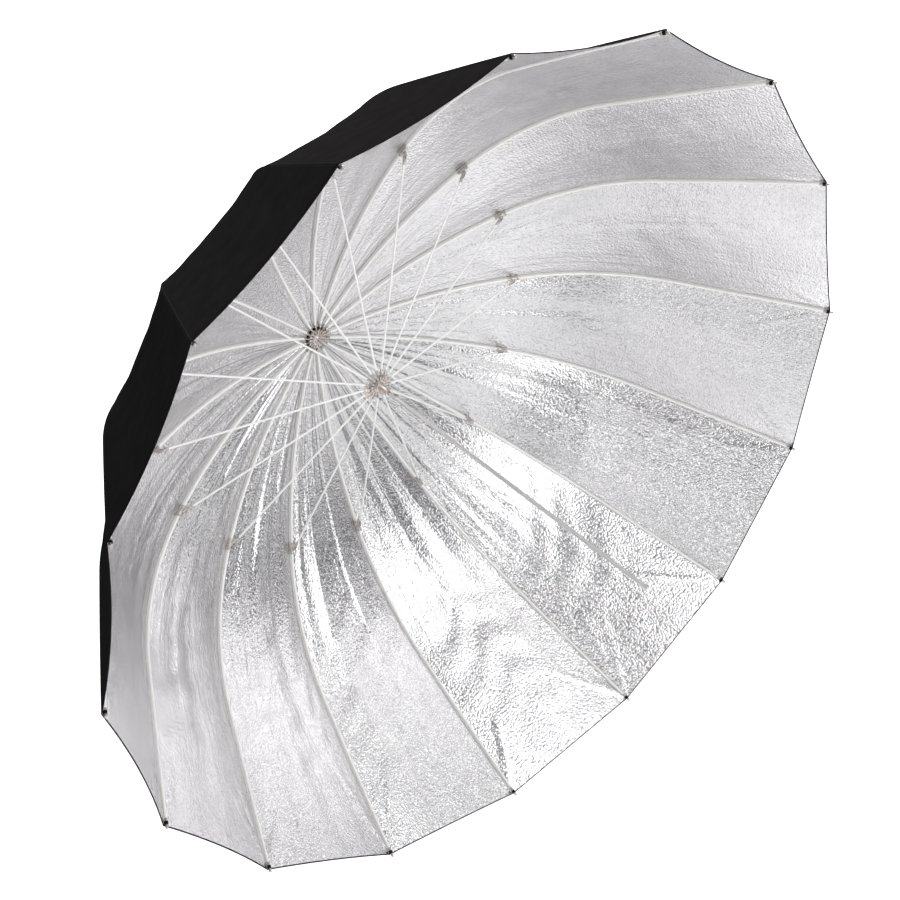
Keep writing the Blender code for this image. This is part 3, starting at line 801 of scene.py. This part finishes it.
def clip_sleeve():
    """Crimped sleeve over the joint of the two rods, with the lug that the fork hinges on."""
    slope = RIB_SLOPES[1]
    along = Vector((math.cos(slope), -math.sin(slope), 0.0))
    middle = rib_place(CLIP_AT)
    half = SLEEVE_LENGTH / 2
    stages = (
        (-1.0, 0.92), (-0.96, 1.0), (-0.72, 1.0), (-0.66, 0.90), (-0.56, 0.90), (-0.50, 1.0),
        (0.50, 1.0), (0.56, 0.90), (0.66, 0.90), (0.72, 1.0), (0.96, 1.0), (1.0, 0.92))
    points = [middle + along * half * part for part, _ in stages]
    sleeve = tube("sleeve", points, [SLEEVE_RADIUS * size for _, size in stages], 24)
    outline = arc((0.0, 0.0), EYE_RADIUS, 180.0, 360.0, 13)
    outline += [(0.0048, CLIP_OFFSET), (-0.0048, CLIP_OFFSET)]
    lug = plate("lug", outline, LUG_THICKNESS, 0.0003)
    lug.data.transform(Matrix.Rotation(-slope, 4, "Z"))
    lug.data.transform(Matrix.Translation(rib_place(CLIP_AT, -CLIP_OFFSET)))
    combine(sleeve, lug, "UNION")
    return new_object("clip", smooth(take_mesh(sleeve)))


def rivet(name, half_length, radius):
    """Cross rivet with two domed heads, along Z."""
    stages = (
        (-half_length, 0.15), (-half_length + 0.00025, 0.75), (-half_length + 0.0006, 1.0),
        (half_length - 0.0006, 1.0), (half_length - 0.00025, 0.75), (half_length, 0.15))
    rings = [
        ring_at(Vector((0, 0, z)), Vector((radius * size, 0, 0)),
                Vector((0, radius * size, 0)), 16)
        for z, size in stages]
    item = loft(name, rings)
    smooth(item.data)
    return item


def rib_tip():
    """Metal tip over the thin rod's end, with a rounded point."""
    start = RIB_LENGTH - TIP_LENGTH
    stages = (
        (start, 0.85), (start + 0.0006, 1.0), (start + 0.008, 1.0), (start + 0.0085, 0.90),
        (start + 0.0105, 0.90), (start + 0.011, 1.0), (RIB_LENGTH - 0.0024, 1.0),
        (RIB_LENGTH - 0.0012, 0.86), (RIB_LENGTH - 0.0004, 0.56), (RIB_LENGTH, 0.15))
    points = [rib_place(at) for at, _ in stages]
    item = tube("tip", points, [TIP_RADIUS * size for _, size in stages], 24)
    smooth(item.data)
    return item


def rod(name, start, end, count, radius):
    stations = np.linspace(start, end, count)
    item = tube(name, [rib_place(at) for at in stations], [radius] * count, 16)
    smooth(item.data)
    return item


def rib_meshes():
    rods = gathered("rib_rods", [
        rod("thick_rod", FERRULE[1] - 0.004, CLIP_AT, 36, THICK_ROD_RADIUS),
        rod("thin_rod", CLIP_AT + 0.0002, RIB_LENGTH - TIP_LENGTH / 2, 56, THIN_ROD_RADIUS)])
    ferrule = gathered("rib_ferrule", [eye_and_ferrule("ferrule", FERRULE_RADIUS)])
    clip = gathered("rib_clip", [clip_sleeve(), rib_tip()])
    return smooth(rods), smooth(ferrule), smooth(clip)


def tip_pocket_mesh():
    """Black cloth pocket sewn on the hem's corner, which holds the metal tip."""
    start, end = HEM_AT - 0.0058, HEM_AT + 0.0004
    stages = ((0.0, 1.00), (0.03, 1.05), (0.5, 1.0), (0.95, 1.05), (1.0, 0.98))
    up = Vector((0, 0, 1))
    outer, inner = [], []
    for part, size in stages:
        at = start + (end - start) * part
        place = rib_place(at)
        side = (rib_place(at, 1.0) - place).normalized()
        centre = place + side * 0.0003
        outer.append(ring_at(centre, side * 0.0033 * size, up * 0.0034 * size, 24, 2.2))
        inner.append(ring_at(centre, side * 0.0028 * size, up * 0.0029 * size, 24, 2.2))
    work = bmesh.new()
    rows = [[work.verts.new(point) for point in ring] for ring in outer + inner[::-1]]
    skin(work, rows + rows[:1])
    return smooth(finish_mesh(work, "tip_pocket"))


def stretcher_meshes(length):
    """Stretcher along +X from the fork's pivot at the origin to the runner's wire."""
    start, end = FORK_FERRULE[1] - 0.004, length - FERRULE[1] + 0.004
    line = [Vector((start + (end - start) * k / 12, 0, 0)) for k in range(13)]
    bar = gathered("stretcher_bar", [tube("bar", line, [STRETCHER_ROD_RADIUS] * len(line))])
    outline = arc((0.0, 0.0), FORK_RADIUS, 90.0, 270.0, 13)
    outline += [(FORK_LENGTH, -0.0024), (FORK_LENGTH, 0.0024)]
    fork = plate("fork", outline, FORK_THICKNESS, 0.0004)
    slot_outline = [(-0.005, -0.005), (0.0078, -0.005), (0.0078, 0.005), (-0.005, 0.005)]
    slot = plate("slot", slot_outline, FORK_GAP)
    combine(fork, slot, "DIFFERENCE")
    ferrule = stepped_bar("fork_ferrule", (
        (FORK_FERRULE[0], 0.0026, 0.0024, 4.0), (0.0120, 0.0028, 0.0026, 2.6),
        (0.0135, 0.0028, 0.0028, 2.0), (0.0155, 0.0028, 0.0028, 2.0),
        (0.0160, 0.0025, 0.0025, 2.0), (0.0175, 0.0025, 0.0025, 2.0),
        (0.0180, 0.0028, 0.0028, 2.0), (0.0196, 0.0028, 0.0028, 2.0),
        (FORK_FERRULE[1], 0.0026, 0.0026, 2.0)))
    combine(fork, ferrule, "UNION")
    ends = gathered("fork_end", [
        new_object("fork_body", smooth(take_mesh(fork))), rivet("fork_rivet", 0.0029, 0.0011)])
    blade = eye_and_ferrule("blade", STRETCHER_FERRULE_RADIUS)
    blade.data.transform(Matrix.Rotation(math.pi, 4, "Z"))
    blade.data.transform(Matrix.Translation((length, 0, 0)))
    inner = gathered("blade_end", [blade])
    return smooth(bar), smooth(ends), smooth(inner)


def rib_angle(index):
    return math.atan2(CROWN[index].z, CROWN[index].x)


def rib_matrix(index):
    angle = rib_angle(index)
    return Matrix.Translation(CROWN[index]) @ Matrix.Rotation(-angle, 4, "Y")


def stretcher_matrix(index):
    angle = rib_angle(index)
    around = Vector((-math.sin(angle), 0.0, math.cos(angle)))
    target = Vector((PIVOT_RADIUS * math.cos(angle), RUNNER_Y, PIVOT_RADIUS * math.sin(angle)))
    along = (target - CLIPS[index]).normalized()
    turn = Matrix((along, around.cross(along), around)).transposed().to_4x4()
    return Matrix.Translation(CLIPS[index]) @ turn


def place_copy(name, mesh, matrix, look, body, *nodes):
    """A dressed copy of a mesh, moved to its rib or stretcher."""
    item = new_object(name, mesh.copy())
    item.data.transform(matrix)
    dress(item, look, body, *nodes)


def build_ribs():
    rods, ferrule, clip = rib_meshes()
    pocket = tip_pocket_mesh()
    for index, label in enumerate(LABELS):
        body = f"rib_{label}"
        matrix = rib_matrix(index)
        place_copy(f"rib_rod_{label}", rods, matrix, WHITE, body, body)
        place_copy(f"rib_ferrule_{label}", ferrule, matrix, NICKEL, body)
        place_copy(f"rib_clip_and_tip_{label}", clip, matrix, CLIP_METAL, body)
        place_copy(f"tip_pocket_{label}", pocket, matrix, BLACK, body)


def build_stretchers():
    length = (stretcher_matrix(0).inverted() @ RUNNER_PIVOT).length
    bar, fork, blade = stretcher_meshes(length)
    for index, label in enumerate(LABELS):
        body = f"stretcher_{label}"
        matrix = stretcher_matrix(index)
        place_copy(f"stretcher_rod_{label}", bar, matrix, WHITE, body, body)
        place_copy(f"stretcher_fork_{label}", fork, matrix, CLIP_METAL, body)
        place_copy(f"stretcher_blade_{label}", blade, matrix, NICKEL, body)


def closed_share(at):
    """How much of the width between two ribs is left at this place when the ribs are folded."""
    along, down, _ = rib_line(at)
    folded = along * math.cos(FOLD_RANGE) - down * math.sin(FOLD_RANGE)
    return float((PIVOT_RADIUS + SHELL_FACE + folded) / (PIVOT_RADIUS + SHELL_FACE + along))


def flat_size(start, end):
    """Width, length and area that a length of cloth between two ribs is cut to."""
    at = np.linspace(start, end, 100)
    chord = chord_at(at)
    area = float(np.sum((chord[1:] + chord[:-1]) / 2 * np.diff(at)))
    return (float(chord[-1]), end - start), area


def build_canopy():
    cuts = np.linspace(CANOPY_START, HEM_AT, CLOTH_LENGTHS + 1)
    keeps = [min(MOST_KEPT, closed_share(start)) for start in cuts[:-1]]
    for index, label in enumerate(LABELS):
        body = f"rib_{label}"
        node = f"canopy_panel_{label}"
        linings = cloth_pieces(
            f"canopy_lining_{label}", index, LINING_ROWS, LINING_COLUMNS,
            (LINING_FACE, LINING_BACK), lining_rise)
        shells = cloth_pieces(
            f"canopy_shell_{label}", index, SHELL_ROWS, SHELL_COLUMNS,
            (SHELL_BACK, SHELL_FACE), shell_rise)
        hem = hem_piece(f"canopy_hem_{label}", index)
        dress(hem, BLACK, body)
        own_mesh(hem)
        for part, (lining, shell) in enumerate(zip(linings, shells)):
            flat, area = flat_size(cuts[part], cuts[part + 1])
            dress(lining, SILVER, body, node)
            dress(shell, BLACK_SEWN, body, node)
            for sheet in (lining, shell):
                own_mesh(sheet)


# Hubs, shaft and caps ----------------------------

HUB_RADIUS = 0.0195
HUB_HALF = 0.005
SLOT_START = 0.012
SLOT_WIDTH = 0.0024
SHAFT_RADIUS = 0.0040
SHAFT_BORE = 0.0031
CLEARANCE = 0.0003                   # between the shaft and a hub on it
WIRE_RADIUS = 0.00065
SLEEVE_OUTER = 0.0068
GRIP_GROOVES = 7
GRIP_PITCH = 0.0022
CAP_BORE = 0.0043
CAP_BORE_DEPTH = 0.0150


def notched_disc(name, y, bore):
    """Hub disc with a radial notch for each rib or stretcher, and a groove for the wire ring."""
    outline = []
    half_slot = SLOT_WIDTH / 2
    rim_turn = math.asin(half_slot / HUB_RADIUS)
    for index in range(RIB_COUNT):
        middle = FIRST_ANGLE + STEP * index
        along = Vector((math.cos(middle), math.sin(middle)))
        side = Vector((-along.y, along.x))
        floor = along * (SLOT_START + half_slot)
        rim = along * HUB_RADIUS * math.cos(rim_turn)
        outline.append(tuple(rim - side * half_slot))
        for turn in (-90, -60, -30, 0, 30, 60, 90):
            a = math.radians(turn)
            outline.append(tuple(floor - along * half_slot * math.cos(a)
                                 + side * half_slot * math.sin(a)))
        outline.append(tuple(rim + side * half_slot))
        start, end = middle + rim_turn, middle + STEP - rim_turn
        for part in (0.25, 0.5, 0.75):
            a = start + (end - start) * part
            outline.append((HUB_RADIUS * math.cos(a), HUB_RADIUS * math.sin(a)))
    hole = arc((0.0, 0.0), bore, 0.0, 352.5, 48)
    disc = plate(name, outline, 2 * HUB_HALF, 0.0004, (hole,))
    disc.data.transform(Matrix.Translation((0, y, 0)) @ Matrix.Rotation(math.pi / 2, 4, "X"))
    groove = turned(name + "_groove", [
        (HUB_RADIUS + 0.001, -0.0009), (HUB_RADIUS + 0.001, 0.0009), (HUB_RADIUS - 0.0006, 0.0007),
        (HUB_RADIUS - 0.0006, -0.0007)], 96, y)
    combine(disc, groove, "DIFFERENCE")
    return new_object(name, smooth(take_mesh(disc)))


def build_turned(name, outline, sides, look, node, y=0.0):
    """One turned piece of the shaft that stands for one CAD node."""
    item = turned(name, outline, sides, y)
    smooth(item.data, 30.0)
    dress(item, look, "shaft", node)
    return item


def build_hub(name, y, bore, collar, body):
    """Notched hub with its collar, and the wire ring that the ribs or stretchers hinge on."""
    disc = notched_disc(name + "_disc", y, bore)
    hub = new_object(name + "_notched_hub", gathered(name + "_notched_hub", [disc, collar]))
    dress(hub, NICKEL, body, name + "_hub")
    circle = arc((PIVOT_RADIUS, 0.0), WIRE_RADIUS, 0.0, 324.0, 10)
    wire = turned(name + "_wire_ring", circle, 96, y)
    smooth(wire.data)
    dress(wire, STEEL, body, name + "_wire")


def build_crown():
    bore = SHAFT_RADIUS + CLEARANCE
    collar = turned("crown_collar", [
        (bore, -HUB_HALF), (0.0105, -HUB_HALF), (0.0105, -HUB_HALF - 0.0008),
        (0.0098, -HUB_HALF - 0.0014), (0.0078, -HUB_HALF - 0.0016),
        (0.0066, -HUB_HALF - 0.0032), (0.0060, -HUB_HALF - 0.0036),
        (bore, -HUB_HALF - 0.0036)], 64, CROWN_Y)
    smooth(collar.data)
    build_hub("crown", CROWN_Y, bore, collar, "shaft")


def build_runner():
    bore = SHAFT_RADIUS + CLEARANCE + 0.0001
    low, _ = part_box("runner_hub")
    front = low.y - RUNNER_Y
    outer = SLEEVE_OUTER
    outline = [(bore, -HUB_HALF), (0.0098, -HUB_HALF), (0.0098, -HUB_HALF - 0.0026)]
    outline += arc((0.0088, -HUB_HALF - 0.0026), 0.0010, 0.0, -80.0, 4)
    outline += [(0.0072, -HUB_HALF - 0.0042), (outer, -HUB_HALF - 0.0052)]
    for number in range(GRIP_GROOVES):
        at = -HUB_HALF - 0.0085 - GRIP_PITCH * number
        outline += [(outer, at), (outer - 0.0005, at - 0.0004), (outer - 0.0005, at - 0.0009),
                    (outer, at - 0.0013)]
    outline += [(outer, front + 0.0060), (outer + 0.0012, front + 0.0046)]
    outline += arc((outer + 0.0008, front + 0.0038), 0.0007, 40.0, 0.0, 3)
    outline += arc((outer + 0.0007, front + 0.0008), 0.0008, 0.0, -90.0, 4)
    outline += [(bore, front)]
    sleeve = turned("runner_sleeve", outline, 64, RUNNER_Y)
    smooth(sleeve.data, 30.0)
    build_hub("runner", RUNNER_Y, bore, sleeve, "runner")


def build_shaft():
    low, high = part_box("shaft_tube")
    outline = [
        (SHAFT_BORE, low.y), (SHAFT_RADIUS - 0.0002, low.y), (SHAFT_RADIUS, low.y + 0.0002),
        (SHAFT_RADIUS, high.y - 0.0002), (SHAFT_RADIUS - 0.0002, high.y), (SHAFT_BORE, high.y)]
    steel = turned("shaft_body", outline, 48)
    catch_low, catch_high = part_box("catch")
    slot = plate("catch_slot", [
        (-0.0012, catch_low.y + 0.0119), (0.0012, catch_low.y + 0.0119),
        (0.0012, catch_high.y + 0.0016), (-0.0012, catch_high.y + 0.0016)], 0.004)
    slot.data.transform(Matrix.Translation((0, 0, 0.004)))
    combine(steel, slot, "DIFFERENCE")
    item = new_object("shaft_steel_tube", smooth(take_mesh(steel), 30.0))
    dress(item, STEEL, "shaft", "shaft_tube")


def build_end_plug():
    low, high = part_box("end_cap")
    collar_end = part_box("shaft_tube")[0].y - 0.0002
    rim = -low.x
    outline = [(0.0, low.y), (rim - 0.0012, low.y)]
    outline += arc((rim - 0.0010, low.y + 0.0010), 0.0010, -90, 0, 6)
    outline += [(rim, collar_end), (0.0027, collar_end), (0.0027, high.y), (0.0, high.y)]
    build_turned("shaft_end_plug", outline, 48, STEEL, "end_cap")


def build_stop():
    low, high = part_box("runner_stop")
    radius, bore = high.x, SHAFT_RADIUS + 0.0002
    outline = [(bore, low.y), (radius - 0.0006, low.y), (radius, low.y + 0.0006)]
    outline += [(radius, low.y + 0.0020), (radius - 0.0005, low.y + 0.0024)]
    outline += [(radius - 0.0005, high.y - 0.0024), (radius, high.y - 0.0020)]
    outline += [(radius, high.y - 0.0006), (radius - 0.0006, high.y), (bore, high.y)]
    build_turned("runner_stop_collar", outline, 48, NICKEL, "runner_stop")


def build_pins():
    for name in ("crown_pin", "catch_pin"):
        low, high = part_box(name)
        centre = (low + high) / 2
        pin = rivet(name + "_rivet", (high.x - low.x) / 2, (high.y - low.y) / 2)
        pin.data.transform(Matrix.Translation(centre) @ Matrix.Rotation(math.pi / 2, 4, "Y"))
        dress(pin, STEEL, "shaft", name)


def build_catch():
    pivot = Vector(JOINTS["catch_press"]["pos_m"])
    _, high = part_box("catch")
    length, top = high.y - pivot.y, high.z - pivot.z
    outline = arc((0.0, 0.0), 0.0019, 90.0, 270.0, 13)
    outline += [(0.004, -0.0016), (length, 0.0004)]
    outline += arc((length - 0.0006, top - 0.0006), 0.0006, 0.0, 90.0, 4)
    outline += [(length - 0.003, top - 0.0003), (length - 0.005, top - 0.0009)]
    outline += [(0.014, 0.0024), (0.004, 0.0016)]
    hole = arc((0.0, 0.0), 0.0010, 0.0, 330.0, 12)
    leaf = plate("catch_leaf", outline, 0.0016, 0.0002, (hole,))
    turn = Matrix.Rotation(math.pi / 2, 4, "Z") @ Matrix.Rotation(math.pi / 2, 4, "X")
    leaf.data.transform(Matrix.Translation(pivot) @ turn)
    smooth(leaf.data)
    dress(leaf, NICKEL, "catch", "catch")


def build_patch():
    low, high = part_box("crown_patch")
    radius = high.x
    outline = [(0.0046, low.y + 0.0001), (radius - 0.001, low.y + 0.0001)]
    outline += [(radius, low.y + 0.0004), (radius - 0.0006, high.y), (radius - 0.004, high.y)]
    outline += [(radius - 0.0045, high.y - 0.0003), (radius - 0.005, high.y), (0.0046, high.y)]
    patch = build_turned("crown_cloth_patch", outline, 96, BLACK, "crown_patch")


def build_rear_cap():
    low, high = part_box("rear_cap")
    flange, length = high.x, high.y - low.y
    outline = [(0.0, CAP_BORE_DEPTH), (CAP_BORE, CAP_BORE_DEPTH), (CAP_BORE, 0.0)]
    outline += [(flange - 0.0004, 0.0), (flange, 0.0004), (flange, 0.0014)]
    outline += arc((flange - 0.0012, 0.0016), 0.0012, 10.0, 80.0, 4)
    outline += arc((flange - 0.0022, 0.0072), 0.0045, 262.0, 190.0, 6)
    outline += [(0.0070, 0.0090), (0.0065, 0.0150)]
    outline += arc((0.0, length - 0.0062), 0.0062, 0.0, 90.0, 10)[:-1]
    outline += [(0.0, length)]
    build_turned("rear_screw_cap", outline, 64, PLASTIC, "rear_cap", low.y)


# Studio ----------------------------

RIM_RADIUS = PIVOT_RADIUS + float(rib_line(RIB_LENGTH)[0])
RIM_Y = CROWN_Y - float(rib_line(RIB_LENGTH)[1])
CAMERA_AZIMUTH, CAMERA_ELEVATION = math.radians(-38.945), math.radians(37.998)
CAMERA_FROM_RIM = Vector((-1.9033, -2.13078, 2.3351)) * RIM_RADIUS
CAMERA_LENS = 69.52
FLOOR_BELOW_RIM = 0.55
FLOOR_HALF_SIZE = 14.0
FLOOR_GLOW = 0.30
WORLD_LIGHT = 0.23
LIGHTS = (                           # name, place, target, size and watts
    ("key", (0.0, -2.5, 2.1), (0.0, 0.4, -0.4), (2.3, 2.7), 60.0),
    ("top", (1.9, -1.2, 2.6), (0.0, 0.3, -0.3), (1.4, 1.6), 8.0),
    ("right", (3.6, -1.3, 0.9), (0.0, 0.3, 0.0), (1.5, 2.0), 14.0),
    ("left", (-3.4, -2.0, 0.9), (0.0, 0.3, 0.0), (1.6, 2.2), 17.0),
    ("front", (-0.5, -4.2, 0.2), (0.0, 0.4, 0.0), (1.9, 1.2), 15.0),
    ("backdrop", (2.4, 3.4, 2.4), (1.7, 2.2, -1.4), (3.2, 3.2), 420.0),
)


def build_camera():
    camera = new_object("camera", bpy.data.cameras.new("camera"))
    camera.data.lens = CAMERA_LENS
    camera.location = Vector((0.0, RIM_Y, 0.0)) + CAMERA_FROM_RIM
    flat = math.cos(CAMERA_ELEVATION)
    back = Vector((
        math.sin(CAMERA_AZIMUTH) * flat, -math.cos(CAMERA_AZIMUTH) * flat,
        math.sin(CAMERA_ELEVATION)))
    camera.rotation_euler = (-back).to_track_quat("-Z", "Y").to_euler()
    bpy.context.scene.camera = camera


def area_light(name, place, target, size, power):
    data = bpy.data.lights.new(name, "AREA")
    data.shape = "RECTANGLE"
    data.size, data.size_y = size
    data.energy = power
    item = new_object(name, data)
    item.location = place
    item.rotation_euler = (Vector(target) - Vector(place)).to_track_quat("-Z", "Y").to_euler()


def build_floor():
    work = bmesh.new()
    bmesh.ops.create_grid(work, x_segments=1, y_segments=1, size=FLOOR_HALF_SIZE)
    mesh = bpy.data.meshes.new("floor")
    work.to_mesh(mesh)
    work.free()
    floor = new_object("floor", mesh)
    floor.location = (0.0, 0.0, CAD_BOX[0].z - FLOOR_BELOW_RIM)
    paper = Surface("paper", Roughness=0.9, Specular_IOR_Level=0.2, Emission_Strength=FLOOR_GLOW)
    paper.shader.inputs["Emission Color"].default_value = (1.0, 1.0, 1.0, 1.0)
    mottle = paper.noise(paper.object_place(), 3.0, 2.0)
    paper.color(paper.mix(mottle, (0.90, 0.90, 0.90, 1.0), (0.93, 0.93, 0.93, 1.0)))
    floor.data.materials.append(paper.material)


def build_lights():
    world = bpy.data.worlds.new("studio")
    bpy.context.scene.world = world
    world.use_nodes = True
    background = world.node_tree.nodes["Background"]
    background.inputs["Color"].default_value = (0.97, 0.98, 1.0, 1.0)
    background.inputs["Strength"].default_value = WORLD_LIGHT
    for light in LIGHTS:
        area_light(*light)


build_camera()
build_floor()
build_lights()
build_ribs()
build_stretchers()
build_canopy()
build_crown()
build_runner()
build_shaft()
build_end_plug()
build_stop()
build_pins()
build_catch()
build_patch()
build_rear_cap()
bpy.context.scene.view_settings.view_transform = "Standard"
